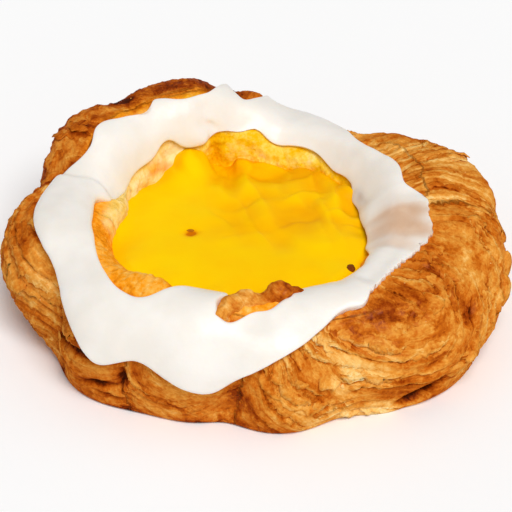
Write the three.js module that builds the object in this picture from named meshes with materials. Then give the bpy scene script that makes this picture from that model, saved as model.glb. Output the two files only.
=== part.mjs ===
// A danish pastry: laminated dough folded into a ring of lobes round a well of set custard,
// with a ribbon of white icing poured over the rim. Millimetres, +Z up, the front towards -Y.
import * as THREE from "three";

const { degToRad, euclideanModulo, lerp, seededRandom, smoothstep } = THREE.MathUtils;

// Driving dimensions
const NECK_RADIUS = 36; // outline of the dough where two lobes meet
const WELL_RADIUS = 28.5; // the well at the level of the custard
const WELL_FLOOR = 8; // dough left under the custard
const FLOOR_INSET = 3; // the well narrows by this much towards its floor
const LIP_DROP = 2.5; // the well's lip lies this far below the crest
const LIP_SHARE = 0.3; // and this share of the way from the well to the crest
const CUSTARD_LEVEL = 21.5;
const CUSTARD_DOME = 1.2;
const ICING_EDGE = 0.4; // thickness at the very edge of the ribbon
const FIT_GAP = 0.6; // left between custard and dough
const ICING_GAP = 1; // left between icing and dough
const ICING_FREEBOARD = 1.2; // the ribbon stops this far above the custard

// The lobes of dough. Angles are in degrees anticlockwise from the right-hand side, seen from above.
// half: half the angle the lobe spans. reach: outline beyond the neck. rim, crest: radius and height
// of the rim's top line. belly: height of the widest line. tuck: how far the base is drawn in under
// the belly. puff: fullness of the shoulder.
const LOBES = [
  {
    name: "right roll", angle: -25, half: 50, reach: 20.9,
    rim: 36.5, crest: 25, belly: 11, tuck: 4, puff: 0.74,
  },
  {
    name: "right back fold", angle: 12, half: 53, reach: 21.8,
    rim: 37.5, crest: 28.5, belly: 14, tuck: 7, puff: 0.86,
  },
  {
    name: "back fold", angle: 70, half: 42, reach: 10.2,
    rim: 33.5, crest: 26.5, belly: 14, tuck: 4, puff: 0.8,
  },
  {
    name: "back knuckle", angle: 88, half: 16, reach: 10.2,
    rim: 37.8, crest: 33, belly: 15, tuck: 4, puff: 0.8,
  },
  {
    name: "back left fold", angle: 112, half: 32, reach: 12.8,
    rim: 38, crest: 36.2, belly: 16, tuck: 5, puff: 0.82,
  },
  {
    name: "left back fold", angle: 142, half: 30, reach: 14.5,
    rim: 41, crest: 35, belly: 16, tuck: 6, puff: 0.82,
  },
  {
    name: "left roll", angle: 179, half: 42, reach: 16.6,
    rim: 36, crest: 27.5, belly: 13, tuck: 7, puff: 0.76,
  },
  {
    name: "front left tuck", angle: -140, half: 36, reach: 12,
    rim: 34, crest: 26, belly: 7, tuck: 3, puff: 0.75,
  },
  {
    name: "front panel", angle: -110, half: 30, reach: 7.5,
    rim: 33, crest: 26.2, belly: 6, tuck: 2, puff: 0.78,
  },
  {
    name: "front corner", angle: -75, half: 28, reach: 10.6,
    rim: 33.5, crest: 25, belly: 5, tuck: 2, puff: 0.72,
  },
];

// How the sheets of dough are wound. angle, outside: the middle of a swirl of sheets, outside running
// from 0 at the crest to 1 at the base. half: half the angle the swirl spans.
const SWIRLS = [
  { name: "right roll", angle: -50, outside: 0.2, half: 52 },
  { name: "right back fold", angle: 40, outside: 0, half: 35 },
  { name: "back left fold", angle: 122, outside: 0, half: 60 },
  { name: "left roll", angle: 194, outside: 0, half: 48 },
  { name: "front left tuck", angle: -138, outside: 0, half: 32 },
  { name: "front panel", angle: -110, outside: 0, half: 30 },
];

// Relief of the crust
const SHEETS = 7; // sheets of dough that show from the middle of a swirl to its edge
const SHEET_DEPTH = 0.8;
const SHEET_WANDER = 0.3; // how far a sheet's edge strays, in sheets
const WANDER_WAVES = [11, 7]; // waves round the ring in that straying
const WANDER_TWIST = 9; // radians the second wave shifts from crest to base
const CREASE_DEPTH = 2.2; // between two swirls
const CREASE_WIDTH = 0.14;
const CRAG = 0.35; // depth of the random crags
const CRAG_SEED = 11;
const SMOOTH_MARGIN = [0.5, 4]; // the relief fades in over this distance from the icing
const BASE_SHARE = 0.08; // and over this share of the section above the base
// Bare dough that stands up through the icing at the front, each an oval hump on the crest.
const KNOBS = [
  { name: "ridge", angle: -84, outside: -0.6, along: 7, across: 4, height: 1.2 },
  { name: "knob in the icing", angle: -92, outside: -0.4, along: 4.8, across: 5.4, height: 2.8 },
  { name: "knob at the custard", angle: -77.5, outside: -1.6, along: 4.8, across: 4.4, height: 3.2 },
];

// Round the ring, each as [angle in degrees, millimetres].
const ICING_OUTER = [ // outer edge of the icing, outwards from the crest
  [-174, 7], [-158, 7.5], [-147, 10.4], [-138, 14.6], [-129, 19.8], [-122, 17.2], [-117, 16],
  [-109, 19.2], [-101, 20.8], [-96, 19.2], [-91, 15.4], [-80, 12], [-66, 7.8], [-57, 4.6], [-53, 5.2],
  [-45, 2.2], [-30, 1.5], [-12, 4.8], [-5, 2.7], [2, 3], [9, -1.2], [21, -0.8], [38, -2.2], [52, 3],
  [64, 6], [72, 7.6], [81, 4.6], [89, -1.6], [95, 1.8], [101, -3], [112, -5.5], [124, -3.8],
  [129, -6.2], [140, -5.6], [148, -3.4], [155, -3], [160, -0.2], [165, 3.2],
];
const ICING_INNER = [ // inner edge of the icing, inwards from the crest
  [-173, 3.2], [-160, 1.2], [-150, -0.8], [-140, -2.3], [-129, -4.2], [-121, -4], [-115.5, 0],
  [-111, 2.2], [-102, 2], [-95.5, -4.8], [-90, -4], [-80, -2.4], [-73, -0.8], [-66, 4], [-50, 5.8],
  [-40, 5.6], [-20, 7], [-8, 8], [4, 10], [15, 10.6], [28, 10.6], [42, 8.8], [50, 5.7], [58, 3.8],
  [70, 3.8], [84, 5.5], [94, 8], [101, 12], [108, 15.2], [116, 15.4], [123, 12.8], [128, 13.2],
  [134, 16.2], [150, 16.4], [156, 14.6], [162, 10], [168, 7.4], [174, 4],
];
const ICING_BODY = [[-130, 2.2], [-100, 2.4], [-60, 2], [-8, 1], [30, 1.8], [90, 2.2], [150, 2.2]];
const CUSTARD_CLIMB = [ // how far the custard climbs the wall of the well
  [-90, 0], [-20, 0], [30, -0.4], [60, -1], [90, -1.2], [103, 0.5], [113, 3.4], [122, 1.4], [134, 0],
  [160, -0.2], [-175, -0.8], [-150, 0],
];

// Steps in the solids
const COLUMNS = 128; // round the ring
const DOUGH_ROWS = 33; // from the base over the crest to the well's floor
const ICING_ROWS = 7; // across the ribbon, on its top and again underneath
const CUSTARD_SKIP = 2; // custard columns to dough columns
const CUSTARD_SIDE = [0, 0.5, 0.82, 1]; // rings up the side, as shares of the depth
const CUSTARD_TOP = [0.94, 0.78, 0.54, 0.26]; // rings over the top, as shares of the radius
const CURVE_STEPS = 240; // pieces a section is measured in

// Degrees from one angle to another, the short way round.
function turn(from, to) {
  return euclideanModulo(to - from + 180, 360) - 180;
}

// A value that runs smoothly round the ring through [angle, value] stops.
function round(stops, angle) {
  const sorted = [...stops].sort((a, b) => turn(0, a[0]) - turn(0, b[0]));
  const count = sorted.length;
  const found = sorted.findIndex(([stop]) => turn(0, stop) > turn(0, angle));
  const after = Math.max(found, 0);
  const [before, start, end, beyond] = [-2, -1, 0, 1].map((k) => sorted[(after + k + count) % count]);
  const span = euclideanModulo(end[0] - start[0], 360);
  const slopeIn = ((end[1] - before[1]) * span) / (euclideanModulo(start[0] - before[0], 360) + span);
  const slopeOut = ((beyond[1] - start[1]) * span) / (euclideanModulo(beyond[0] - end[0], 360) + span);
  const t = euclideanModulo(angle - start[0], 360) / span;
  const ease = t * t * (3 - 2 * t);
  return lerp(start[1], end[1], ease) + t * (1 - t) * ((1 - t) * slopeIn - t * slopeOut);
}

// How strongly each lobe shapes the dough at an angle, from 0 to 1.
function lobeShares(angle) {
  return LOBES.map((lobe) => {
    const across = turn(lobe.angle, angle) / lobe.half;
    return Math.abs(across) < 1 ? Math.cos((across * Math.PI) / 2) : 0;
  });
}

// A lobe's value blended over the lobes that share an angle.
function blended(shares, key) {
  const weights = shares.map((share) => share ** 3);
  const total = weights.reduce((a, b) => a + b, 0);
  return LOBES.reduce((sum, lobe, i) => sum + lobe[key] * weights[i], 0) / total;
}

// The dough's section at an angle, from the base over the crest down to the well's floor,
// as a curve of radius (x) and height (z). A sum of fourth powers runs the lobes' outlines together.
function section(angle) {
  const shares = lobeShares(angle);
  const reach = Math.hypot(...LOBES.map((lobe, i) => (lobe.reach * shares[i]) ** 2)) ** 0.5;
  const outline = NECK_RADIUS + reach;
  const crest = blended(shares, "crest");
  const belly = blended(shares, "belly");
  const puff = blended(shares, "puff");
  const rim = blended(shares, "rim");
  const points = [
    [outline - blended(shares, "tuck"), 0],
    [outline, belly],
    [lerp(rim, outline, puff), lerp(belly, crest, puff)],
    [rim, crest],
    [lerp(WELL_RADIUS, rim, LIP_SHARE), crest - LIP_DROP],
    [WELL_RADIUS, CUSTARD_LEVEL],
    [WELL_RADIUS - FLOOR_INSET, WELL_FLOOR],
  ].map(([radius, height]) => new THREE.Vector3(radius, 0, height));
  const curve = new THREE.CatmullRomCurve3(points, false, "centripetal");
  const lengths = curve.getLengths(CURVE_STEPS);
  const total = lengths[CURVE_STEPS];
  return { angle, curve, total, crestAt: lengths[CURVE_STEPS / 2] / total };
}

const SECTIONS = Array.from({ length: COLUMNS }, (_, i) => section((360 * i) / COLUMNS));

// A point of the smooth dough at a share of the section's length, moved off the dough by a distance.
function onSection({ angle, curve }, share, off) {
  const along = curve.getTangentAt(share);
  const point = curve.getPointAt(share).add(new THREE.Vector3(along.z, 0, -along.x).multiplyScalar(off));
  return point.applyAxisAngle(new THREE.Vector3(0, 0, 1), degToRad(angle));
}

// The share of the section's length at which the wall of the well comes down to a height.
function wallShare({ curve, crestAt }, height) {
  let [above, below] = [crestAt, 1];
  while (below - above > 1 / CURVE_STEPS ** 2) {
    const middle = (above + below) / 2;
    if (curve.getPointAt(middle).z > height) above = middle;
    else below = middle;
  }
  return above;
}

// Height of the custard where it meets the wall of the well.
function custardRim(angle) {
  return CUSTARD_LEVEL + round(CUSTARD_CLIMB, angle);
}

// Relief of the outer dough: nested sheets round the middle of each swirl, and creases between swirls.
function relief(angle, outside) {
  const depths = SWIRLS.map((swirl) => (
    Math.hypot(turn(swirl.angle, angle) / swirl.half, outside - swirl.outside)));
  const [nearest, second] = depths.sort((a, b) => a - b);
  const [fast, slow] = WANDER_WAVES.map((waves) => degToRad(waves * angle));
  const wander = Math.sin(fast) + Math.sin(slow + WANDER_TWIST * outside);
  const sheet = nearest * SHEETS + SHEET_WANDER * wander;
  const valley = Math.abs(2 * (sheet - Math.floor(sheet)) - 1) ** 3;
  const crease = Math.exp(-(((second - nearest) / CREASE_WIDTH) ** 2));
  return SHEET_DEPTH * valley + CREASE_DEPTH * crease;
}

// Height of the knobs at a distance outwards from the crest.
function knobs(column, outwards) {
  const radius = onSection(column, column.crestAt, 0).length();
  return KNOBS.reduce((height, knob) => {
    const along = (degToRad(turn(knob.angle, column.angle)) * radius) / knob.along;
    const across = (outwards - knob.outside) / knob.across;
    return height + knob.height * Math.max(0, 1 - along ** 2 - across ** 2) ** 2;
  }, 0);
}

function doughPoint(column, row) {
  const { angle, total, crestAt } = column;
  const share = row / DOUGH_ROWS;
  const outwards = (crestAt - share) * total;
  const bare = smoothstep(outwards - round(ICING_OUTER, angle), ...SMOOTH_MARGIN);
  const clearOfBase = smoothstep(share, 0, BASE_SHARE);
  const depth = relief(angle, 1 - share / crestAt) + CRAG * seededRandom();
  return onSection(column, share, knobs(column, outwards) - depth * bare * clearOfBase);
}

function solidGeometry(rings, poles, faces) {
  const geometry = new THREE.BufferGeometry().setFromPoints([...rings.flat(), ...poles]);
  geometry.setIndex(faces);
  geometry.computeVertexNormals();
  return geometry;
}

// Faces that join two rings of points.
function joined(here, there, count) {
  return Array.from({ length: count }, (_, j) => {
    const next = (j + 1) % count;
    return [here + j, here + next, there + next, here + j, there + next, there + j];
  }).flat();
}

// A closed solid from rings of points, each ring joined to the next and both ends closed on a pole.
function ringSolid(rings, poles) {
  const count = rings[0].length;
  const first = rings.length * count;
  const sides = rings.slice(1).flatMap((_, i) => joined(i * count, (i + 1) * count, count));
  const ends = rings[0].flatMap((_, j) => {
    const next = (j + 1) % count;
    return [first, next, j, first + 1, first - count + j, first - count + next];
  });
  return solidGeometry(rings, poles, [...sides, ...ends]);
}

// A closed band from rings of points, the last ring joined back to the first.
function bandSolid(rings) {
  const count = rings[0].length;
  const faces = rings.flatMap((_, i) => joined(i * count, ((i + 1) % rings.length) * count, count));
  return solidGeometry(rings, [], faces);
}

function dough() {
  seededRandom(CRAG_SEED);
  const ring = (row) => SECTIONS.map((column) => doughPoint(column, row));
  const rings = Array.from({ length: DOUGH_ROWS + 1 }, (_, row) => ring(row));
  return ringSolid(rings, [new THREE.Vector3(0, 0, 0), new THREE.Vector3(0, 0, WELL_FLOOR)]);
}

// Icing: a ribbon over the crest, thick in the middle and rounded at both edges.
function icing() {
  const ring = (step, top) => SECTIONS.map((column) => {
    const { angle, total, crestAt } = column;
    const outer = crestAt - round(ICING_OUTER, angle) / total;
    const lowest = wallShare(column, custardRim(angle) + ICING_FREEBOARD);
    const inner = Math.min(crestAt + round(ICING_INNER, angle) / total, lowest);
    const across = 0.5 - 0.5 * Math.cos((Math.PI * step) / ICING_ROWS);
    const crown = Math.sqrt(1 - (2 * across - 1) ** 4);
    const thickness = top ? ICING_EDGE + round(ICING_BODY, angle) * crown : 0;
    return onSection(column, lerp(outer, inner, across), ICING_GAP + thickness);
  });
  const rings = (top) => Array.from({ length: ICING_ROWS + 1 }, (_, step) => ring(step, top));
  return bandSolid([...rings(true), ...rings(false).reverse()]);
}

// Custard: fills the well and climbs its back wall, slightly domed.
function custard() {
  const columns = SECTIONS.filter((_, i) => i % CUSTARD_SKIP === 0);
  const bottom = WELL_FLOOR + FIT_GAP;
  const side = CUSTARD_SIDE.map((share) => columns.map((column) => {
    const height = lerp(bottom, custardRim(column.angle), share);
    return onSection(column, wallShare(column, height), FIT_GAP).setZ(height);
  }));
  const rim = side.at(-1);
  const middle = CUSTARD_LEVEL + CUSTARD_DOME;
  const top = CUSTARD_TOP.map((share) => rim.map((point) => new THREE.Vector3(
    point.x * share, point.y * share, lerp(middle, point.z, share ** 3))));
  return ringSolid([...side, ...top], [new THREE.Vector3(0, 0, bottom), new THREE.Vector3(0, 0, middle)]);
}

function piece(name, geometry, color, roughness) {
  const mesh = new THREE.Mesh(geometry, new THREE.MeshStandardMaterial({ color, roughness, metalness: 0 }));
  mesh.name = name;
  return mesh;
}

const danish = new THREE.Group();
danish.add(piece("dough", dough(), 0xc8792c, 0.6));
danish.add(piece("custard", custard(), 0xffc800, 0.4));
danish.add(piece("icing", icing(), 0xf4f0ea, 0.35));

// The origin is under the middle of the whole.
const box = new THREE.Box3().setFromObject(danish);
const middle = box.getCenter(new THREE.Vector3()).setZ(0);
danish.children.forEach((mesh) => mesh.position.sub(middle));

export default danish;
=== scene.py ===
"""Looks of a danish pastry: flaky crust, set custard, white icing, loose flakes and crumbs."""
import math
import random
from collections import namedtuple

import bmesh
import bpy
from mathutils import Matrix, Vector, noise
from mathutils.bvhtree import BVHTree


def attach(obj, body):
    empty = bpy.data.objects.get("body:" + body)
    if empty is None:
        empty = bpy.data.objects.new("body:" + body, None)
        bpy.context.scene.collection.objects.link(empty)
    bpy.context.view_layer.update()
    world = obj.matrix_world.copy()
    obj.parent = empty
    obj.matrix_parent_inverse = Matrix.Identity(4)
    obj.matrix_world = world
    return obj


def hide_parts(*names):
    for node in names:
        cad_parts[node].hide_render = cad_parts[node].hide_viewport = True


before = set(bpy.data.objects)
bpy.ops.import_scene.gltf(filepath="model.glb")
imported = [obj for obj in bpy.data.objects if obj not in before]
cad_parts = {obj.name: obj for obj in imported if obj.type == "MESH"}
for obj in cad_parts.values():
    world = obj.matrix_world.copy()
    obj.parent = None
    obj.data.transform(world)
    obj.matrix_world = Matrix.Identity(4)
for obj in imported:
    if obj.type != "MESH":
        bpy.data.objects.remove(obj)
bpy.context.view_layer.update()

MM = 0.001
DOWN = Vector((0, 0, -1))

# Seeds, so that every run gives the same shapes.
NOISE_SEED = 3
FLAKE_SEED = 5
CRUMB_SEED = 23
noise.seed_set(NOISE_SEED)

# A solid's points that are nearer than this, in metres, are one. A point with this many
# edges is the middle of a fan.
WELD = 1e-6
FAN = 12
# How often the cages are rounded, and how often the crust's is evened out before that.
CRUST_LEVELS = 2
ICING_LEVELS = 2
CUSTARD_LEVELS = 3
EVEN_ROUNDS = 3
# The crust's cage is its foot up to this height in millimetres, and its edge stays so sharp.
FOOT_BAND = 0.3
FOOT_SHARP = 0.7
# How near to the crust icing and custard are sunk into it, and how deep, in millimetres.
ICING_BED = (1.9, 1.0)
CUSTARD_BED = (1.6, 0.9)

# Sheets of dough, wound round swirls as in the solid: the angle of a swirl's middle about
# the well, how far out it lies (0 at the crest, 1 at the foot) and half the angle it spans.
# Then how high its leaves stand, how often they break off and how far they are drawn out
# round the ring.
Swirl = namedtuple("Swirl", "angle outside half flaky broken drawn")
SWIRLS = [
    Swirl(-50, 0.2, 52, 1.0, 1.0, 1),
    Swirl(40, 0, 35, 0.7, 0.9, 1),
    Swirl(122, 0, 60, 0.6, 0.9, 1),
    Swirl(194, 0, 48, 1.1, 0.35, 2.2),
    Swirl(-138, 0, 32, 0.9, 0.4, 1.5),
    Swirl(-110, 0, 30, 0.35, 1.0, 1),
]
# Sheets in a swirl and leaves in a sheet, and how far and how often the sheets wander.
SHEETS = 7
LEAVES = 2
SHEET_WANDER = 0.12
WANDER_WAVES = (11, 7)
WANDER_TWIST = 9
# A swirl is flattened by this share towards the well. Its leaves wind no tighter than at
# this share of its size.
OPEN_END = 0.4
TIGHTEST = 0.25
# Millimetres to a degree round the ring, and from the crest to the foot.
DEGREE_MM = 0.8
FALL_MM = 32
# By how many degrees the lay of the leaves wanders.
LAY_WANDER = 4
# Where along a leaf its edge stands highest, and how many thin leaves there are to a leaf.
LEDGE_TOP = 0.75
THIN_LEAVES = 1.6
# How wide the tears between scraps of leaf are, as a share of a scrap.
TEAR_WIDTH = 0.1

# Relief of the crust, in millimetres.
LEDGE = 1.1
THIN_LEDGE = 0.6
SWELL = 0.5
BLISTER = 0.2
FLAKE = 0.14
GRAIN = 0.1
SCRAP = 0.6
RIDGE = 0.35
CREASE = 0.3
CREASE_WIDTH = 0.05
# How high the crust may stand under the icing, and how far above it icing covers it.
COVERED_RISE = 0.25
COVER_REACH = 7
# Away from the back wall the crust may stand this much higher beside the icing.
OPEN_RISE = 9
# Between these heights relief and slits grow to their full size.
FOOT = (0.4, 3.5)
SLIT_FOOT = (0, 0.5)

# Stretches of the ring: first and last angle, and the degrees over which both ends fade.
FRONT_WALL = (-152, -72, 6)
BACK_WALL = (20, 150, 8)
RIGHT_RIM = (-15, 60, 10)
LEFT_CRUMB = (152, 182, 5)
FAR_CRUMB = (106, 150, 6)
EGG_WALL = (16, 110, 5)
ICING_BACK = (75, 160, 14)
ICING_DRIPS = (15, 105, 8)
THIN_END = (-42, 4, 6)
FRINGE = (-42, 4, 4)
RIGHT_DRIP = (-18, 22, 10)
FRONT_DRIP = (-48, -36, 6)
CUSTARD_TONGUE = (108, 120, 4)
CUSTARD_NOTCH = (95, 103, 3)
CUSTARD_RIGHT = (-46, -12, 10)
CUSTARD_CLIMB = (28, 92, 10)

# Where on the way into the well the wall, its crumb and its smear of egg begin and are full,
# and how much further out the wall begins at the front.
WALL_EDGE = (0.02, -0.08)
FRONT_SHIFT = 0.14
LEFT_CRUMB_EDGE = (-0.18, -0.23)
FAR_CRUMB_EDGE = (-0.06, -0.14)
EGG_EDGE = (-0.03, -0.12)
SMEAR_EDGE = (-0.12, -0.24)
# On the right the well ends between these distances from its axis, in millimetres.
RIM_REACH = (31, 34)

# How brown the crust is, and how much darker on its left, partly browner bake and partly painted
# shade, and at its foot, painted underside shade, between the places in millimetres that follow.
BROWN = 0.51
LEFT_BROWN_AND_SHADE = 0.03
LEFT_REACH = (5, -35)
FOOT_SHADE = 0.1
FOOT_REACH = (3, 0.5)
# The cap on the painted shade in clefts and slits, which is partly browner bake.
DARKEST_CLEFT_SHADE = 1.8

# Browner and paler patches: angle, how far out (0 at the crest, 1 at the foot),
# reach in degrees and in that share, and by how much browner.
PATCHES = [
    (-50, 0.22, 9, 0.13, 0.24),
    (-22, 0.13, 7, 0.1, 0.14),
    (-27, 0.25, 4, 0.09, 0.12),
    (-27, 0.46, 3, 0.1, 0.1),
    (-21, 0.36, 8, 0.12, -0.1),
    (-54, 0.98, 14, 0.09, -0.36),
    (-64, 0.55, 6, 0.12, -0.1),
    (-16, 0.24, 5, 0.1, -0.1),
    (-105, 0.8, 26, 0.2, 0.04),
    (-91, 0.75, 5, 0.1, 0.12),
    (-130, 0.76, 6, 0.07, 0.1),
    (102, 0.16, 20, 0.24, 0.34),
    (-76, 0.7, 9, 0.25, -0.07),
    (150, 0.3, 24, 0.5, 0.1),
    (100, -0.4, 4, 0.2, 0.14),
    (-92, 0.0, 5, 0.14, -0.04),
    (96, -0.12, 6, 0.03, 0.16),
    (-175, -0.1, 22, 0.1, 0.1),
    (-40, 0.34, 12, 0.18, 0.04),
    (6, 0.24, 14, 0.2, -0.06),
]

# Slits, and lips where the depth is below 0: angle and how far out at either end, width in
# that share, depth in millimetres.
SLITS = [
    (-45.8, 0.955, -38.8, 0.825, 0.024, 3.8),
    (128, -0.04, 131, 0.5, 0.04, 1.1),
    (-56, 1.0, -36, 0.94, 0.02, -0.9),
    (-145, 0.63, -132, 0.57, 0.03, 1.9),
    (-144, 0.54, -132, 0.49, 0.03, -0.7),
    (-134.5, 0.82, -127, 0.79, 0.026, 1.8),
    (-120.5, 0.5, -121.5, 0.72, 0.016, -1.0),
    (-121.5, 0.72, -125, 0.88, 0.016, -1.0),
    (-123, 0.62, -124.5, 0.78, 0.014, 0.9),
    (-131, 0.87, -126, 0.92, 0.016, 1.0),
    (-27, 0.4, -29, 0.55, 0.02, 0.9),
    (-37, 0.6, -44, 0.68, 0.02, 0.9),
    (3, 0.1, 7, 0.42, 0.02, 0.3),
    (103, -0.2, 102, -0.6, 0.025, 1.6),
    (97, -0.2, 88, -0.22, 0.03, -0.8),
    (124, -0.3, 126, -0.8, 0.03, 0.7),
]

# Swellings of the crust: angle, how far out, reach in degrees and in that share, and rise.
BULGES = [
    (-127, -0.08, 11, 0.08, 2.2),
    (172, -0.27, 12, 0.09, 3.0),
    (162, -0.34, 9, 0.1, 2.0),
    (86, 0.12, 5, 0.07, 1.8),
]

# Lumps of bare dough at the front: middle and half sizes in millimetres.
KNOBS = [
    ((-6.9, -37.0, 25.2), (2.0, 2.3, 2.0)),
    ((-4.2, -34.6, 26.1), (2.6, 2.5, 2.4)),
    ((-1.6, -33.0, 26.1), (2.7, 2.3, 2.3)),
    ((1.6, -32.4, 25.2), (3.0, 2.2, 1.9)),
    ((5.4, -31.5, 26.5), (3.2, 2.6, 2.8)),
    ((8.6, -30.4, 25.8), (2.3, 1.7, 1.4)),
]

# Points of the icing's edge: middle, reach and how far it is drawn out, in millimetres.
NUBS = [
    ((-23.2, 30.2, 36), 1.8, (-2.2, 2.6, 0.6)),
    ((-34.5, 22.5, 32.5), 2.2, (-1.8, 2.0, 0)),
    ((-7, 39, 33.4), 2.0, (0.6, 2.2, 0)),
    ((2, 39, 30), 1.6, (0.6, 2.0, 0.2)),
    ((-2.2, 38, 32), 2.2, (0, -2.6, 0)),
    ((-9.9, 31.2, 35), 1.6, (-0.4, -0.8, -0.6)),
    ((-25.6, 27.0, 35.8), 2.3, (0.8, -2.6, 0.4)),
    ((-2.5, 28.1, 30.6), 3.2, (0, -1.2, -1.7)),
    ((-11.3, 23.7, 28.3), 2.4, (1.6, -0.6, -0.4)),
    ((-8.9, 24.7, 29.8), 1.8, (-0.2, 0.8, 0.8)),
    ((-8.5, -30.9, 26.7), 3.2, (3.8, 0.2, -0.9)),
    ((0.3, -39.1, 26.0), 3.0, (0, 1.8, 0.4)),
    ((6.1, -35.2, 25.7), 2.6, (0, 1.6, 0.4)),
]

# Large flakes that stand out: angle, how far out, length, width and lift in millimetres.
LOOSE = [
    (2, 0.48, 7, 3, 1.2),
    (-4, 0.6, 6, 3, 1.3),
    (-11, 0.64, 7, 3, 1.5),
    (-17, 0.6, 6, 2.5, 1.0),
    (-60, 0.94, 5, 1.6, 0.4),
    (-54, 0.95, 5, 1.6, 0.4),
    (-66, 0.62, 5, 3, 0.6),
    (-35, 0.3, 6, 3, 0.6),
    (-30, 0.7, 7, 3, 0.8),
    (-166, 0.5, 8, 3.5, 1.4),
    (172, 0.45, 7, 3, 0.9),
    (150, 0.2, 6, 3, 0.8),
    (25, 0.3, 7, 3, 0.6),
]

# Hollows and mounds of the custard: middle, reach to the side and to the back, and rise. Hollows
# also get painted shade and mounds are painted lighter.
SCOOPS = [
    (3.2, 19.3, 3.2, 4.0, -0.9),
    (-6.5, 18.2, 3.5, 3.5, -0.6),
    (12.8, 19.3, 2.5, 3.0, -0.7),
    (21.0, 7.0, 2.0, 3.5, -0.8),
    (6.1, -5.6, 2.6, 4.0, -0.5),
    (9.7, 14.4, 2.2, 6.0, 0.7),
    (16.7, 6.5, 2.6, 2.6, 0.6),
    (15.8, -5.2, 5.5, 5.0, 0.7),
    (-1.7, 13.5, 3.0, 4.0, 0.4),
    (-15.0, 19.0, 4.0, 4.0, 0.5),
]

# How many flakes come up along the leaves' edges, the least and greatest of their length,
# width and lift, and how thick all are, in millimetres.
FLAKES = 80
FLAKE_LENGTHS = (3, 8)
FLAKE_WIDTHS = (1.4, 3)
FLAKE_LIFTS = (0.05, 0.3)
FLAKE_THICKNESS = 0.2
# How many crumbs there are, and the least and greatest of their radius.
CRUMBS = 24
CRUMB_SIZES = (0.12, 0.3)
# A crumb that is larger than the others: place and radius.
LARGE_CRUMB = ((18.1, -40.9, 10.2), 0.55)
# Specks on the custard: place to the right and to the back, half width, depth and height.
FLECK = (-13.3, -2.3, 0.9, 0.4, 0.25)
SPECK = (20.6, -15.4, 1.0, 1.0, 0.6)
# The dimple round the fleck: place, and reach to the side and to the back.
DIMPLE = (-13.3, -3.4, 1.4, 1.3)
# The icing's thin end: place, and reach to the side and to the back.
VEIL = (32, -7, 7, 9)
# How fine the lumps of bare dough are knit into one, and how often that is softened.
KNOB_KNIT = 0.3
KNOB_ROUNDS = 36

# Tones as on a screen, 0 to 255, each after its place on a scale from 0 to 1.
BAKED_TONES = [
    (0.0, (255, 228, 164)),
    (0.2, (250, 197, 112)),
    (0.42, (230, 152, 58)),
    (0.62, (203, 106, 22)),
    (0.82, (150, 58, 3)),
    (1.0, (76, 24, 0)),
]
SOFT_TONES = [
    (0.1, (255, 220, 150)),
    (0.34, (255, 190, 84)),
    (0.56, (252, 160, 28)),
    (0.9, (206, 100, 0)),
]
CRUMB_TONES = [
    (0.34, (230, 172, 50)),
    (0.46, (246, 205, 104)),
    (0.6, (255, 231, 172)),
]
EGG_TONES = [
    (0.1, (160, 86, 0)),
    (0.32, (230, 166, 0)),
    (0.44, (247, 194, 14)),
    (0.55, (255, 218, 96)),
    (0.66, (255, 234, 170)),
]
YOLK_TONES = [
    (0.0, (255, 208, 0)),
    (0.4, (254, 195, 0)),
    (0.66, (248, 180, 0)),
    (0.86, (238, 160, 0)),
    (1.0, (210, 112, 0)),
]
# Lighter and darker tone of the icing, of its thin end and of loose bits of dough.
SUGAR = ((242, 237, 230), (237, 231, 222))
SUGAR_RIM = (248, 224, 202)
SUGAR_VEIL = ((227, 193, 162), (212, 170, 134))
PALE_CRUMB = ((246, 196, 120), (214, 136, 50))
BROWN_CRUMB = ((214, 130, 10), (150, 76, 4))
DARK_CRUMB = ((140, 70, 8), (60, 22, 2))
FLOOR_WHITE = (0.98, 0.98, 0.98, 1)
FLOOR_HALF = 4

# The camera: what it looks at and how far off it stands in millimetres, how high in degrees,
# and its lens in pixels of an image of this width.
LOOK_AT = (0.65, 0, 13.97)
CAMERA_AWAY = 600
CAMERA_HEIGHT = 35
FOCAL_PIXELS = 2772
IMAGE_PIXELS = 512
SENSOR = 36
NEAREST = 0.01
# The light all round, and the lamp's strength, breadth in degrees and way.
ROUND_LIGHT = 0.42
LAMP_STRENGTH = 2.2
LAMP_BREADTH = 30
LAMP_WAY = (-0.2, 0.55, -0.8)


def linear(red, green, blue):
    """A colour as seen on a screen, 0 to 255, as the light that a shader works with."""
    parts = []
    for part in (red, green, blue):
        share = part / 255
        parts.append(share / 12.92 if share <= 0.04045 else ((share + 0.055) / 1.055) ** 2.4)
    return (*parts, 1)


def ease(low, high, value):
    """0 up to low, 1 from high on, and a smooth rise between."""
    share = min(max((value - low) / (high - low), 0), 1)
    return share * share * (3 - 2 * share)


def ridge(value, top=0.8):
    """Ridges one apart, each with a long rise to 1 at its top and a short fall to 0."""
    share = value % 1
    return ease(0, top, share) if share < top else ease(1, top, share)


def turn(start, end):
    """Degrees from one angle to another, the short way round."""
    return (end - start + 180) % 360 - 180


def bearing(right, back):
    """The angle of a way, in degrees."""
    return math.degrees(math.atan2(back, right))


def bell(distance):
    """1 at no distance, fading to 0 at about two."""
    return math.exp(-distance * distance)


def arc(first, last, soft, angle):
    """1 from one angle round to another, fading to 0 over some degrees at both ends."""
    middle = first + turn(first, last) / 2
    half = abs(turn(first, last)) / 2
    return ease(half + soft, half, abs(turn(middle, angle)))


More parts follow.
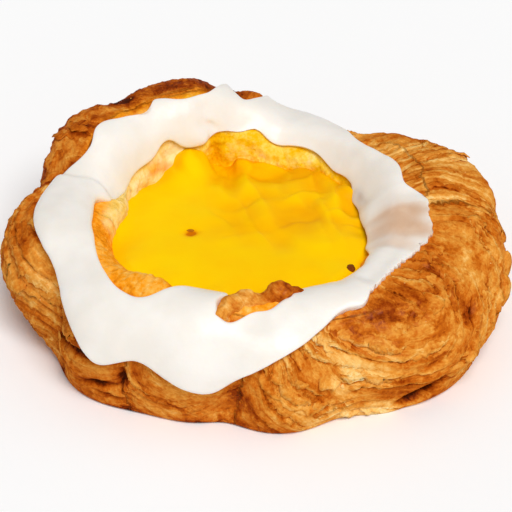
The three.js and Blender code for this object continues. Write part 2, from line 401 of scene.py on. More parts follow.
class Wire:
    """A value in a finish, with the arithmetic of Math nodes."""

    def __init__(self, finish, socket):
        self.finish = finish
        self.socket = socket

    def reckon(self, operation, first, second):
        return self.finish.add("ShaderNodeMath", {"operation": operation}, {0: first, 1: second})

    def __add__(self, other):
        return self.reckon("ADD", self, other)

    __radd__ = __add__

    def __sub__(self, other):
        return self.reckon("SUBTRACT", self, other)

    def __rsub__(self, other):
        return self.reckon("SUBTRACT", other, self)

    def __mul__(self, other):
        return self.reckon("MULTIPLY", self, other)

    __rmul__ = __mul__

    def part(self):
        """What is left over a whole number."""
        return self.reckon("FRACT", self, 0)

    def eased(self, low, high):
        """0 up to low, 1 from high on, and a smooth rise between."""
        return self.finish.add(
            "ShaderNodeMapRange",
            {"interpolation_type": "SMOOTHSTEP"},
            {"Value": self, "From Min": low, "From Max": high},
        )

    def crest(self, low, high, fall):
        """A smooth rise from low to high, and a fall to 0 at 1."""
        return self.eased(low, high) * (1 - self.eased(fall, 1.0))


class Finish:
    """A material: its nodes are added one by one and its values led to the shader."""

    def __init__(self, name, constants):
        self.material = bpy.data.materials.new(name)
        self.material.use_nodes = True
        self.tree = self.material.node_tree
        self.shader = self.tree.nodes["Principled BSDF"]
        for socket, value in constants.items():
            self.shader.inputs[socket].default_value = value

    def add(self, kind, settings=(), sockets=(), output=0):
        """A node with its settings and what its sockets get."""
        node = self.tree.nodes.new(kind)
        for name, value in dict(settings).items():
            if name == "stops":
                self.set_stops(node.color_ramp.elements, value)
            else:
                setattr(node, name, value)
        for name, value in dict(sockets).items():
            self.feed(node.inputs[name], value)
        return Wire(self, node.outputs[output])

    def set_stops(self, elements, stops):
        while len(elements) < len(stops):
            elements.new(1)
        for element, (position, tone) in zip(elements, stops):
            element.position = position
            element.color = linear(*tone)

    def feed(self, socket, value):
        if isinstance(value, Wire):
            self.tree.links.new(value.socket, socket)
        else:
            socket.default_value = value

    def lead(self, sockets):
        """Leads values to the shader's own sockets."""
        for name, value in sockets.items():
            self.feed(self.shader.inputs[name], value)

    def place(self):
        return self.add("ShaderNodeTexCoord", output="Object")

    def mark(self, name, output="Fac"):
        """A value that the piece keeps for each of its points."""
        return self.add("ShaderNodeAttribute", {"attribute_name": name}, output=output)

    def scaled(self, vector, factors):
        return self.add(
            "ShaderNodeVectorMath", {"operation": "MULTIPLY"}, {0: vector, 1: factors})

    def speckle(self, vector, scale, detail=3, roughness=0.5):
        """Noise about 0.5."""
        return self.add(
            "ShaderNodeTexNoise",
            sockets={"Vector": vector, "Scale": scale, "Detail": detail, "Roughness": roughness},
        )

    def cells(self, vector, scale, output):
        return self.add(
            "ShaderNodeTexVoronoi", sockets={"Vector": vector, "Scale": scale}, output=output)

    def blended(self, share, first, second):
        return self.add(
            "ShaderNodeMix", {"data_type": "RGBA"}, {0: share, 6: first, 7: second}, 2)

    def toned(self, value, tones):
        return self.add("ShaderNodeValToRGB", {"stops": tones}, {"Fac": value})

    def bumped(self, height, distance, strength):
        return self.add(
            "ShaderNodeBump",
            sockets={"Height": height, "Distance": distance, "Strength": strength},
            output="Normal",
        )


def crust_finish():
    """Baked dough: straw on thin leaves, caramel on top, cream and egg inside; painted shade in
    clefts and slits, partly browner bake there, painted shadow under the ledges and painted
    highlight on their pale lips.
    """
    finish = Finish("flaky crust", {
        "Specular IOR Level": 0,
        "Coat Roughness": 0.35,
    })
    place = finish.place()
    leaves = finish.mark("leaves", "Vector")
    leaf = finish.add("ShaderNodeSeparateXYZ", sockets={"Vector": leaves}, output="X")
    streak = finish.speckle(finish.scaled(leaves, (1.0, 0.34, 1)), 1, 5, 0.65)
    hair = finish.speckle(finish.scaled(leaves, (5, 1.3, 1)), 1, 3, 0.6)
    band = finish.speckle(finish.scaled(leaves, (0.4, 0.13, 1)), 1, 2)
    patch = finish.speckle(place, 85, 2)
    cloud = finish.speckle(place, 260, 3, 0.6)
    grain = finish.speckle(place, 1100, 4, 0.65)
    toast = finish.mark("toast")
    lifted = finish.mark("lifted")
    inside = finish.mark("inside")
    pore = finish.cells(place, 1000, "Distance")

    jitter = finish.add(
        "ShaderNodeTexNoise", sockets={"Vector": place, "Scale": 420}, output="Color")
    ragged = finish.add("ShaderNodeVectorMath", {"operation": "ADD"}, {
        0: finish.scaled(leaves, (0.8, 0.3, 1)),
        1: finish.scaled(jitter, (1.6, 1.6, 0)),
    })
    plate = (finish.cells(ragged, 1, "Color") - 0.5) * lifted.eased(0, 0.3)

    rise = (leaf + (cloud - 0.5) * 0.4 + (grain - 0.5) * 0.2).part()
    # Painted highlight along each leaf's lip, partly its paler dough, and painted shadow just
    # under each ledge; the same again for the thin leaves.
    pale_lip_and_highlight = rise.crest(0.5, 0.85, 0.93) * lifted * (1 - toast.eased(0.5, 0.6) * 0.7)
    shadow_under_ledge = (1 - rise.eased(0.0, 0.18)) * lifted
    torn = finish.speckle(finish.scaled(leaves, (0.6, 0.16, 1)), 1, 2).eased(0.44, 0.6) * lifted
    thin_rise = (leaf * 2.6 + (cloud - 0.5) * 1.6 + (grain - 0.5) * 0.8).part()
    thin_pale_lip_and_highlight = thin_rise.crest(0.5, 0.9, 0.94) * torn
    shadow_under_thin_ledge = (1 - thin_rise.eased(0.0, 0.3)) * torn

    brown_and_shade = toast + (patch - 0.5) * 0.5 + (cloud - 0.5) * 0.6 + (streak - 0.5) * 0.5
    brown_and_shade = brown_and_shade + (band - 0.5) * 0.6 * lifted.eased(0, 0.1)
    brown_and_shade = brown_and_shade + plate * 0.3 + (hair - 0.5) * 0.25 + (grain - 0.5) * 0.45
    # Painted shade in clefts and slits, partly browner bake, then painted shadow under the ledges
    # and painted highlight on the lips.
    brown_and_shade = brown_and_shade + finish.mark("cleft") * 0.4 + shadow_under_ledge * 0.26 - pale_lip_and_highlight * 0.22
    brown_and_shade = brown_and_shade + shadow_under_thin_ledge * 0.13 - thin_pale_lip_and_highlight * 0.14
    crumbly = patch * 0.25 + cloud * 0.45 + grain * 0.3
    baked = finish.toned(brown_and_shade, BAKED_TONES)
    soft = finish.toned(brown_and_shade + (streak - 0.5) * 0.4, SOFT_TONES)
    crumb = finish.toned(patch * 0.3 + cloud * 0.5 + grain * 0.2, CRUMB_TONES)
    egg = finish.toned(crumbly - (toast - 0.5) * 0.7, EGG_TONES)
    colour = finish.blended(inside, baked, soft)
    colour = finish.blended(finish.mark("cream"), colour, crumb)
    colour = finish.blended(finish.mark("smear"), colour, egg)

    height = rise.crest(0.0, 0.8, 0.92) * lifted * 0.35
    height = height + thin_rise.crest(0.0, 0.8, 0.92) * torn * 0.22
    height = height + plate * 0.22 + streak * 0.3 + hair * 0.2
    height = height + cloud * 0.45 + grain * 0.5 * (1 - inside * 0.5) + pore * inside * 0.25
    finish.lead({
        "Base Color": colour,
        "Roughness": 0.52 - toast * 0.15 + (grain - 0.5) * 0.3,
        "Coat Weight": toast.eased(0.4, 0.9) * 0.12 + 0.02,
        "Normal": finish.bumped(height, 0.8 * MM, 0.9),
    })
    return finish.material


def icing_finish():
    """Set sugar icing: white with a soft sheen, beige where it lies thin."""
    finish = Finish("sugar icing", {
        "Specular IOR Level": 0.4,
        "Subsurface Weight": 0.35,
        "Subsurface Radius": (1.0, 0.8, 0.6),
        "Subsurface Scale": 1.5 * MM,
    })
    place = finish.place()
    cloud = finish.speckle(place, 130, 3)
    grain = finish.speckle(place, 900, 3)
    sugar = finish.blended(cloud.eased(0.3, 0.7), *[linear(*tone) for tone in SUGAR])
    sugar = finish.blended(finish.mark("rim") * 0.6, sugar, linear(*SUGAR_RIM))
    veil = finish.blended(cloud.eased(0.35, 0.65), *[linear(*tone) for tone in SUGAR_VEIL])
    finish.lead({
        "Base Color": finish.blended(finish.mark("thin"), sugar, veil),
        "Roughness": 0.36 + (cloud - 0.5) * 0.2,
        "Normal": finish.bumped(cloud * 0.7 + grain * 0.3, 0.4 * MM, 0.35),
    })
    return finish.material


def custard_finish():
    """Set custard: a clear egg yellow, with painted shade over its lumpy back and right and in
    its hollows.
    """
    finish = Finish("set custard", {
        "Specular IOR Level": 0.03,
        "Subsurface Weight": 0.2,
        "Subsurface Radius": (1.0, 0.7, 0.1),
        "Subsurface Scale": 1.5 * MM,
    })
    place = finish.place()
    patch = finish.speckle(place, 60, 2)
    cloud = finish.speckle(place, 170, 2)
    grain = finish.speckle(place, 600, 3)
    shade = finish.mark("deep") * 0.95 + (patch - 0.5) * 0.5 + (cloud - 0.5) * 0.4 + 0.1
    finish.lead({
        "Base Color": finish.toned(shade, YOLK_TONES),
        "Roughness": 0.42 + (grain - 0.5) * 0.2,
        "Normal": finish.bumped(cloud * 0.8 + grain * 0.2, 0.35 * MM, 0.35),
    })
    return finish.material


def crumb_finish(name, light, dark):
    """Loose bits of baked dough."""
    finish = Finish(name, {
        "Specular IOR Level": 0.08,
        "Subsurface Weight": 0.1,
        "Subsurface Scale": 0.8 * MM,
    })
    place = finish.place()
    cloud = finish.speckle(place, 160, 3)
    grain = finish.speckle(place, 1400, 3)
    shade = (cloud - 0.5) * 1.4 + 0.5 + (grain - 0.5) * 0.5
    finish.lead({
        "Base Color": finish.blended(shade.eased(0.2, 0.8), linear(*light), linear(*dark)),
        "Roughness": 0.6 + (grain - 0.5) * 0.2,
        "Normal": finish.bumped(grain, 0.2 * MM, 0.5),
    })
    return finish.material


def merged(node):
    """A copy of a solid's mesh, its triangles merged and joined into quads, but for fans."""
    shape = bmesh.new()
    shape.from_mesh(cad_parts[node].data)
    bmesh.ops.remove_doubles(shape, verts=shape.verts, dist=WELD)
    plain = [
        face for face in shape.faces
        if all(len(point.link_edges) < FAN for point in face.verts)
    ]
    bmesh.ops.join_triangles(
        shape, faces=plain, angle_face_threshold=math.pi, angle_shape_threshold=math.pi)
    return shape


def piece_from(shape, name):
    """A piece of the pastry from a modelled shape."""
    mesh = bpy.data.meshes.new(name)
    shape.to_mesh(mesh)
    shape.free()
    piece = bpy.data.objects.new(name, mesh)
    bpy.context.collection.objects.link(piece)
    return piece


def kept(piece):
    """Makes what a piece's modifiers do part of its mesh, so that it can be carved."""
    graph = bpy.context.evaluated_depsgraph_get()
    fine = bpy.data.meshes.new_from_object(
        piece.evaluated_get(graph), preserve_all_data_layers=True, depsgraph=graph)
    piece.modifiers.clear()
    piece.data = fine
    fine.name = piece.name
    fine.shade_smooth()
    return piece


def rounded(shape, name, levels):
    """A piece whose cage is rounded for good."""
    piece = piece_from(shape, name)
    rounding = piece.modifiers.new("rounding", "SUBSURF")
    rounding.levels = levels
    rounding.render_levels = levels
    return kept(piece)


def evened(shape, rounds):
    """Evens out a cage's coarse sheets, which are carved finer later. Its foot stays sharp."""
    crease = shape.edges.layers.float.new("crease_edge")
    loose = [point for point in shape.verts if point.co.z > FOOT_BAND * MM]
    for _ in range(rounds):
        bmesh.ops.smooth_vert(
            shape, verts=loose, factor=0.5, use_axis_x=True, use_axis_y=True, use_axis_z=True)
    for edge in shape.edges:
        low = all(point.co.z < FOOT_BAND * MM for point in edge.verts)
        if low and all(len(point.link_edges) < FAN for point in edge.verts):
            edge[crease] = FOOT_SHARP


def finished(piece, finish, slot, *nodes):
    """Gives a piece its finish, lets it ride and hides the solids that it stands for."""
    piece.data.materials.clear()
    piece.data.materials.append(finish)
    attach(piece, "root")
    if nodes:
        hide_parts(*nodes)


def put(mesh, places):
    """Moves a mesh's points to new places."""
    mesh.vertices.foreach_set("co", [part for place in places for part in place])
    mesh.update()


def marked(mesh, name, values, kind="FLOAT"):
    """Keeps a value for each point of a mesh, for the finish to read."""
    layer = mesh.attributes.new(name, kind, "POINT")
    if kind == "FLOAT":
        layer.data.foreach_set("value", values)
    else:
        layer.data.foreach_set("vector", [part for vector in values for part in vector])


def read(mesh, name):
    """A mesh's marks of one name."""
    return [item.value for item in mesh.attributes[name].data]


def skin_of(piece):
    """A piece's surface, for finding the nearest spot on it."""
    shape = bmesh.new()
    shape.from_mesh(piece.data)
    skin = BVHTree.FromBMesh(shape)
    shape.free()
    return skin


def covered(point, icing_skin):
    """Whether icing lies over a point of the crust."""
    start = point.co - point.normal * MM
    return icing_skin.ray_cast(start, point.normal, COVER_REACH * MM)[0] is not None


def steps_from(pole):
    """How many edges each point of a shape lies away from a pole."""
    steps = {pole: 0}
    walk = [pole]
    for point in walk:
        for edge in point.link_edges:
            other = edge.other_vert(point)
            if other not in steps:
                steps[other] = steps[point] + 1
                walk.append(other)
    return steps


def mark_outside(shape):
    """Marks how far out each point lies: 1 at the foot, 0 on the crest, below 0 in the well.

    Returns the well's axis."""
    outside = shape.verts.layers.float.new("outside")
    feet = [point for point in shape.verts if point.co.z < MM]
    pole = max(feet, key=lambda point: len(point.link_edges))
    axis = pole.co.xy.copy()
    columns = len(pole.link_edges)

    def column_of(point):
        spoke = point.co.xy - axis
        return round(math.atan2(spoke.y, spoke.x) / math.tau * columns) % columns

    steps = steps_from(pole)
    rings = {}
    for point, step in steps.items():
        rings.setdefault(column_of(point), []).append((point.co.z, step))
    crests = [max(rings[column])[1] for column in range(columns)]
    beside = range(-3, 4)
    for point, step in steps.items():
        column = column_of(point)
        crest = sum(crests[(column + shift) % columns] for shift in beside) / len(beside)
        point[outside] = 1 - max(step - 1, 0) / (crest - 1)
    return axis


Lay = namedtuple("Lay", "leaf along swirl crease depth")


def lay_of(angle, outside):
    """Where a spot lies among the sheets of dough."""
    depths = []
    for index, swirl in enumerate(SWIRLS):
        across = turn(swirl.angle, angle) / swirl.half
        out = outside - swirl.outside
        if out < 0:
            out *= OPEN_END
        depths.append((math.hypot(across, out), index, across, out))
    depths.sort()
    depth, index, across, out = depths[0]
    swirl = SWIRLS[index]
    drawn = math.hypot(across / swirl.drawn, out)
    bend = math.radians(angle)
    wander = math.sin(WANDER_WAVES[0] * bend)
    wander += math.sin(WANDER_WAVES[1] * bend + WANDER_TWIST * outside)
    size = (swirl.half * DEGREE_MM + FALL_MM) / 2 * swirl.broken
    along = math.atan2(out, across) * max(depth, TIGHTEST) * size
    crease = bell((depths[1][0] - depth) / CREASE_WIDTH)
    return Lay((drawn * SHEETS + SHEET_WANDER * wander) * LEAVES, along, index, crease, depth)


Leaf = namedtuple("Leaf", "lay swirl number rise lifted scrap tear plate")


def leaf_at(spot, angle, outside):
    """The leaf of crust at a spot, with how far it has come up there and how it is torn."""
    lay = lay_of(angle + LAY_WANDER * noise.noise(spot * 0.09), outside)
    swirl = SWIRLS[lay.swirl]
    seed = Vector((lay.swirl * 7.3, lay.swirl * 3.1, 0))
    torn = Vector((lay.leaf * 0.3, lay.along * 0.1, lay.swirl * 5))
    gaps, middles = noise.voronoi(torn + 0.3 * noise.noise_vector(spot * 0.3))
    scrap = noise.noise(middles[0] * 5.3) * swirl.flaky * swirl.broken
    tear = (1 - ease(0, TEAR_WIDTH, gaps[1] - gaps[0])) * swirl.flaky * swirl.broken
    number = lay.leaf + 0.9 * noise.noise(spot * 0.05 + seed) + 0.7 * scrap
    number += 0.35 * noise.noise(spot * 0.2 + seed) + 0.2 * noise.noise(spot * 0.6 + seed)
    whole = math.floor(number)
    lifted = noise.noise(Vector((whole * 5.7, lay.along * 0.08, lay.swirl)))
    lifted = ease(-0.15, 0.4, lifted) * swirl.flaky * ease(0.08, 0.3, lay.depth)
    cells, _ = noise.voronoi(Vector((number * 0.8, lay.along * 0.3, lay.swirl * 5)))
    plate = ease(0.02, 0.25, cells[1] - cells[0])
    return Leaf(lay, swirl, number, number - whole, lifted, scrap, tear, plate)


def slit_depth(angle, outside):
    """How deep the slits cut at a spot, in millimetres, or below 0 how high a lip stands."""
    depths = [0]
    for first, out, last, end, width, depth in SLITS:
        run = Vector((turn(first, last) / 100, end - out))
        spot = Vector((turn(first, angle) / 100, outside - out))
        share = min(max(spot.dot(run) / run.dot(run), 0), 1)
        aside = (spot - run * share).length / width
        depths.append(depth * bell(aside) * (1 - 0.5 * abs(2 * share - 1)))
    return max(depths) + min(depths)


def reach_of(patches, angle, outside):
    """By how much each of some patches counts at a spot."""
    for centre, out, reach, share, more in patches:
        yield more * bell(math.hypot(turn(centre, angle) / reach, (outside - out) / share))


def browning_and_shade(angle, outside, spot):
    """How brown the crust is at a spot, from 0, straw, to 1, dark, with painted underside shade
    at its foot and, partly, painted shade on its left.
    """
    brown_and_shade = BROWN + LEFT_BROWN_AND_SHADE * ease(*LEFT_REACH, spot.x)
    for more in reach_of(PATCHES, angle, outside):
        brown_and_shade += more
    return brown_and_shade + FOOT_SHADE * ease(*FOOT_REACH, spot.z)


def wall_relief(spot, angle, outside):
    """How high the well's wall stands, in millimetres: in fibres, or smeared at the back."""
    fibre = noise.noise(Vector((angle * 0.5, outside * 6, 9)))
    back = arc(*BACK_WALL, angle)
    smeared = 0.8 * noise.noise(spot * 0.2) + 0.6 * noise.noise(spot * 0.45)
    smeared += 0.3 * noise.noise(spot) + 0.9 * ease(*SMEAR_EDGE, outside)
    return RIDGE * fibre * (1 - back) + smeared * back


def crust_relief(leaf, spot, angle, outside, within):
    """How high the crust stands at a spot, in millimetres, but for its slits."""
    height = LEDGE * (0.12 + 0.88 * leaf.lifted) * (ridge(leaf.rise, LEDGE_TOP) - 0.5)
    height += FLAKE * (leaf.plate - 0.7) + SCRAP * leaf.scrap * (1 - leaf.tear)
    height += THIN_LEDGE * (ridge(leaf.number * THIN_LEAVES) - 0.5) * (1 - leaf.swirl.broken)
    height -= CREASE * leaf.lay.crease
    height += (wall_relief(spot, angle, outside) - height) * within
    for more in reach_of(BULGES, angle, outside):
        height += more
    height += SWELL * noise.noise(spot * 0.16) + BLISTER * noise.noise(spot * 0.65)
    return height + GRAIN * noise.noise(spot * 1.4)


def headroom(point, angle, outside, icing_skin):
    """How high the crust may stand at a point without coming through the icing."""
    if covered(point, icing_skin):
        return COVERED_RISE
    if outside >= 0:
        return math.inf
    clear = icing_skin.find_nearest(point.co)[3] / MM - 1
    return COVERED_RISE + 0.5 * max(clear, 0) + OPEN_RISE * (1 - arc(*BACK_WALL, angle))


def wall_crumb(spot, angle, outside):
    """How far the well's wall shows pale crumb at a spot, and how far a smear of egg."""
    blotch = 0.5 + noise.noise(spot * 0.2 + Vector((4, 1, 7)))
    strips = 0.5 + 1.2 * noise.noise(Vector((angle * 0.3, outside * 2, 5)))
    left = ease(*LEFT_CRUMB_EDGE, outside) * arc(*LEFT_CRUMB, angle) * ease(-0.6, 0.1, strips)
    far = ease(*FAR_CRUMB_EDGE, outside) * arc(*FAR_CRUMB, angle) * ease(-0.3, 0.3, blotch)
    egg = ease(*EGG_EDGE, outside) * arc(*EGG_WALL, angle) * ease(-0.9, -0.2, blotch)
    return min(left + far, 1), egg


def carve_crust(piece, axis, icing_skin):
    """Works leaves, blisters, flakes and slits into the crust, and marks them for its finish."""
    mesh = piece.data
    marks = {name: [] for name in (
        "toast", "ledge", "lifted", "cleft", "inside", "cream", "smear")}
    leaves = []
    moved = []
    for point, outside in zip(mesh.vertices, read(mesh, "outside")):
        spot = point.co / MM
        angle = bearing(point.co.x - axis.x, point.co.y - axis.y)
        leaf = leaf_at(spot, angle, outside)
        slit = slit_depth(angle, outside)
        foot = ease(*FOOT, spot.z)
        shift = FRONT_SHIFT * arc(*FRONT_WALL, angle)
        within = ease(WALL_EDGE[0] + shift, WALL_EDGE[1] + shift, outside)

        height = crust_relief(leaf, spot, angle, outside, within)
        height = height * foot - slit * ease(*SLIT_FOOT, spot.z)
        height = min(height, headroom(point, angle, outside, icing_skin))
        place = point.co + point.normal * height * MM
        place.z = max(place.z, 0)
        moved.append(place)

        reach = (point.co.xy - axis).length / MM
        in_rim = 1 - arc(*RIGHT_RIM, angle) * ease(*RIM_REACH, reach)
        inside = within * in_rim
        cream, egg = wall_crumb(spot, angle, outside)
        # Painted shade in creases and tears, partly browner bake there, and painted shadow in the
        # slits.
        cleft = (0.3 * leaf.lay.crease + 0.2 * leaf.tear) * (1 - within) + max(slit, 0) * 0.9
        # The toast mark carries painted underside shade at the foot besides the browning.
        marks["toast"].append(browning_and_shade(angle, outside, spot) - 0.08 * leaf.scrap)
        marks["ledge"].append(ease(0.45, 0.85, leaf.rise) * leaf.lifted * foot * (1 - within))
        marks["lifted"].append((0.1 + 0.9 * leaf.lifted) * (1 - inside))
        marks["cleft"].append(min(cleft, DARKEST_CLEFT_SHADE))
        marks["inside"].append(inside)
        marks["cream"].append(cream)
        marks["smear"].append(egg * in_rim)
        if inside > 0.5:
            leaves.append((angle * 0.4, outside * 60, 60))
        else:
            leaves.append((leaf.number, leaf.lay.along, leaf.lay.swirl * 7.3))
    for name, values in marks.items():
        marked(mesh, name, values)
    marked(mesh, "leaves", leaves, "FLOAT_VECTOR")
    put(mesh, moved)


def bed_down(piece, skin, reach, sink, facing):
    """Sinks what lies within reach of the crust into it, so that no gap is left.

    Where facing is set, only the side that faces the crust is sunk."""
    moved = []
    for point in piece.data.vertices:
        spot, _, _, gap = skin.find_nearest(point.co)
        toward = (spot - point.co).normalized()
        share = ease(reach, reach * 0.7, gap / MM)
        if facing:
            share *= ease(0.0, 0.5, point.normal.dot(toward))
        moved.append(point.co + toward * (gap + sink * MM) * share)
    put(piece.data, moved)


def icing_depth(angle, out):
    """How deep the icing may lie, in millimetres, at a distance from the well's axis."""
    depth = 2.3 - 0.5 * arc(*ICING_BACK, angle)
    depth -= 1.2 * arc(*THIN_END, angle) * ease(31, 36, out)
    depth -= 0.8 * arc(*ICING_DRIPS, angle) * ease(33, 28, out)
    return depth


def shape_icing(piece, axis, skin):
    """Gives the icing its flat sheets, its overlap on the left and its frayed thin end."""
    mesh = piece.data
    across, back, aside, away = VEIL
    thin = []
    rim = []
    moved = []
    for point in mesh.vertices:
        spot = point.co / MM
        spoke = point.co.xy - axis
        out = spoke.length / MM
        angle = bearing(*spoke) % 360
        outwards = Vector((*spoke.normalized(), 0))
        rest, _, _, gap = skin.find_nearest(point.co)
        gap /= MM
        depth = icing_depth(angle, out)
        flat = depth * math.tanh(1.5 * gap / depth)
        place = rest + (point.co - rest) * (flat / max(gap, 0.01))

        wave = 0.35 * noise.noise(spot * 0.11 + Vector((3, 8, 1)))
        wave += 0.12 * noise.noise(spot * 0.3)
        overlap = ease(167, 168.5, angle + 2 * noise.noise(spot * 0.2))
        wave += 0.8 * overlap * ease(225, 185, angle)
        far = math.hypot((spot.x - across) / aside, (spot.y - back) / away)
        streaks = noise.noise(Vector((angle * 0.2, out * 0.1, 4)))
        end = ease(1.25, 0.35, far + 0.3 * streaks)
        place += point.normal * (wave - 0.3 * end) * MM * ease(0.2, 0.8, gap)

        fringe = noise.noise(Vector((angle * 0.5, 3, 1)))
        fringe += 0.7 * noise.noise(Vector((angle * 1.4, 8, 1)))
        fringe *= 0.8 * arc(*FRINGE, angle) * ease(33, 36, out) * ease(2.4, 1.4, gap)
        place += (outwards * fringe - Vector((0, 0, 0.5 * max(fringe, 0)))) * MM
        drip = 1.8 * arc(*RIGHT_DRIP, angle) - 0.9 * arc(*FRONT_DRIP, angle)
        drip *= ease(34, 29, out)
        place -= (outwards * drip + Vector((0, 0, 0.9 * max(drip, 0)))) * MM
        for middle, reach, push in NUBS:
            near = bell((spot - Vector(middle)).length / reach)
            place += Vector(push) * near * MM
        moved.append(place)
        thin.append(end * 0.9)
        rim.append(ease(1.6, 0.8, gap))
    marked(mesh, "thin", thin)
    marked(mesh, "rim", rim)
    put(mesh, moved)


def shape_custard(piece, axis):
    """Gives the custard its scooped lumps towards the back, and marks its painted shade: darker
    over the lumps and towards the right, deepest in hollows; the dimple round the fleck is
    orange.
    """
    mesh = piece.data
    dimple_across, dimple_back, dimple_aside, dimple_away = DIMPLE
    deep = []
    moved = []
    for point in mesh.vertices:
        spot = point.co / MM
        spoke = (point.co.xy - axis) / MM
        angle = bearing(*spoke)
        flat = Vector((spot.x, spot.y * 0.8, 3))
        bent = flat + noise.noise_vector(flat * 0.15)
        lumpy = ease(-14, 4, spot.y) * ease(-16, -2, spot.x)
        lumpy = max(lumpy, ease(16, 22, spot.y) * 0.6)
        scoop = ease(-0.4, 0.4, noise.noise(bent * 0.12)) - 0.5
        scoop += 0.5 * (ease(-0.4, 0.4, noise.noise(bent * 0.23 + Vector((7, 2, 5)))) - 0.5)
        lump = noise.noise(flat * 0.1) + 0.5 * noise.noise(flat * 0.22)
        strokes = 0.16 * flat.x + 0.05 * flat.y + 0.9 * noise.noise(flat * 0.11)
        dabs = 0.14 * flat.y - 0.04 * flat.x + 0.9 * noise.noise(flat * 0.12 + Vector((1, 7, 3)))
        facet = 0.6 * ridge(strokes) + 0.5 * ridge(dabs) - 0.55
        scooped = 0
        for across, back, aside, away, lift in SCOOPS:
            reach = math.hypot((bent.x - across) / aside, (bent.y / 0.8 - back) / away)
            scooped += lift * ease(1.8, 0.2, reach)
        rise = 0.5 * lump * (0.2 + 0.8 * lumpy) + 0.4 * scoop * (0.06 + 0.94 * lumpy)
        rise += 0.6 * facet * lumpy
        rise += 1.2 * scooped

        edge = ease(19, 27, spoke.length)
        rise += edge * (1.5 * arc(*CUSTARD_TONGUE, angle) - 1.2 * arc(*CUSTARD_NOTCH, angle))
        rise += 0.9 * edge * arc(*CUSTARD_RIGHT, angle)
        climb = 1.6 + 2.0 * noise.noise(Vector((angle * 0.05, 2, 6)))
        rise += climb * ease(20, 28, spoke.length) * arc(*CUSTARD_CLIMB, angle)
        rise += edge * (1.2 * noise.noise(flat * 0.13 + Vector((2, 9, 4))) - 0.2)
        dimple = bell(math.hypot(
            (spot.x - dimple_across) / dimple_aside, (spot.y - dimple_back) / dimple_away))
        rise -= 0.7 * dimple
        moved.append(point.co + Vector((0, 0, rise * ease(18.5, 20, spot.z) * MM)))

        # Painted shade: darker over the lumpy back, in hollows and on low facets, and towards the
        # right; the dimple round the fleck is orange.
        tone = (0.4 - 0.1 * lump - 0.15 * scoop - 0.35 * facet) * lumpy - 0.3 * scooped
        tone = min(tone + 0.2 * ease(-16, -4, spot.x), 0.66) + 1.3 * dimple
        deep.append(min(max(tone, 0), 1))
    marked(mesh, "deep", deep)
    put(mesh, moved)


def add_knobs():
    """Lumps of bare dough that stand up through the icing at the front."""
    shape = bmesh.new()
    for middle, half in KNOBS:
        lump = bmesh.ops.create_icosphere(shape, subdivisions=3, radius=1)["verts"]
        for corner in lump:
            reach = Vector([way * size for way, size in zip(corner.co, half)])
            corner.co = (Vector(middle) + reach) * MM
    knobs = piece_from(shape, "bare_knobs")
    knit = knobs.modifiers.new("knit", "REMESH")
    knit.mode = "VOXEL"
    knit.voxel_size = KNOB_KNIT * MM
    soften = knobs.modifiers.new("soften", "SMOOTH")
    soften.factor = 0.5
    soften.iterations = KNOB_ROUNDS
    kept(knobs)
    toasts = []
    leaves = []
    moved = []
    for point in knobs.data.vertices:
        spot = point.co / MM
        bump = 0.4 * noise.noise(spot * 0.33) + 0.3 * noise.noise(spot * 0.8)
        bump += 0.12 * noise.noise(spot * 2)
        moved.append(point.co + point.normal * bump * MM)
        toasts.append(0.46 + 0.26 * ease(0, 6, spot.x) - 0.3 * bump)
        leaves.append((spot.z * 0.5 + spot.x * 0.2, spot.x + spot.y, 80))
    marked(knobs.data, "toast", toasts)
    marked(knobs.data, "leaves", leaves, "FLOAT_VECTOR")
    put(knobs.data, moved)
    return knobs


def bare_spots(crust, icing_skin, wanted):
    """The crust's points that no icing covers, of those that are wanted."""
    return [
        point.index for point in crust.data.vertices
        if wanted(point.index) and not covered(point, icing_skin)
    ]


def way_across(point, angle, outside, axis):
    """The way across the leaves at a point of the crust, out of the swirl's middle."""
    swirl = SWIRLS[lay_of(angle, outside).swirl]
    side = turn(swirl.angle, angle) / swirl.half ** 2 / DEGREE_MM
    fall = (outside - swirl.outside) / FALL_MM
    if fall < 0:
        fall *= OPEN_END ** 2
    round_ring = Vector((axis.y - point.co.y, point.co.x - axis.x, 0)).normalized()
    across = round_ring * side + round_ring.cross(point.normal) * fall
    across -= point.normal * across.dot(point.normal)
    return across.normalized()


